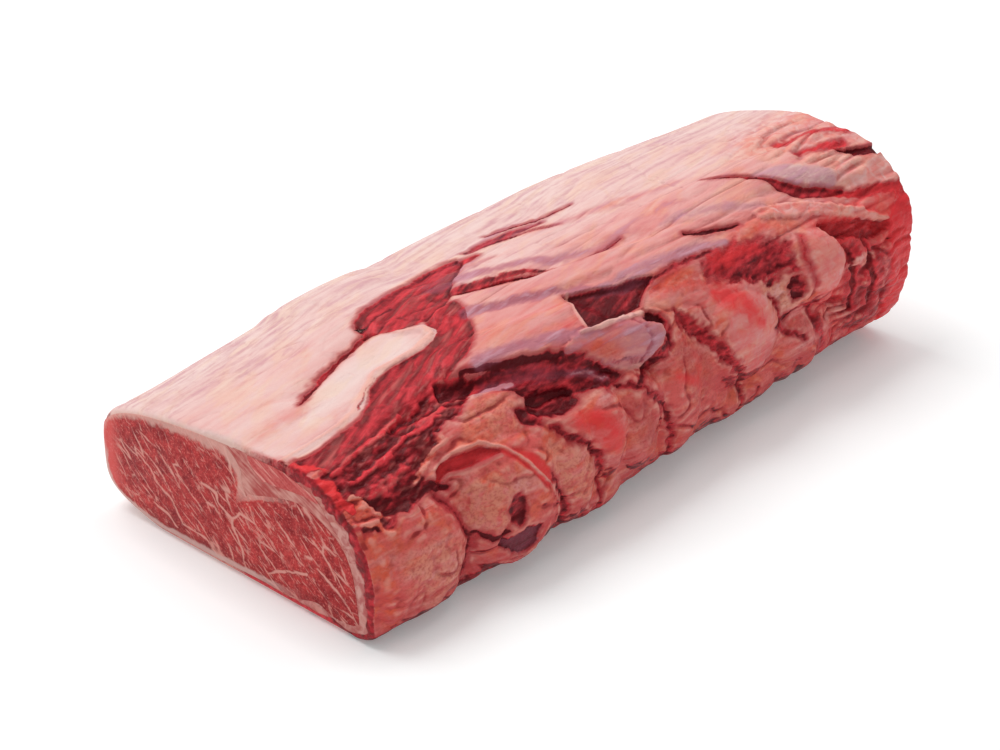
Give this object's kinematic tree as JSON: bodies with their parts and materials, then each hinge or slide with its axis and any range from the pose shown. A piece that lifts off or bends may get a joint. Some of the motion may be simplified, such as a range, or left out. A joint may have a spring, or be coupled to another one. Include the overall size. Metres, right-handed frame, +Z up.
{
  "type": "beef ribeye roll",
  "caption": "Whole boneless beef rib eye as a long rounded slab, cut square at both ends, with lean, marbling and a skin of fat.",
  "frame": {"origin": "middle of the flat underside, under the middle of the box round the whole roll", "axes": "+Y along the roll from the loin cut to the chuck cut, +Z up, +X towards the rib side with its row of fat pads"},
  "size_m": [0.2122, 0.44, 0.1226],
  "materials": {
    "beef_fat": "moist pale pink fat with silver skin and patches of red lean",
    "eye_lean": "moist deep red lean with fine pale marbling",
    "cap_lean": "moist red lean with streaks of fat"
  },
  "bodies": {
    "root": {"fat_cover": "beef_fat", "eye_muscle": "eye_lean", "cap_muscle": "cap_lean"}
  },
  "joints": []
}
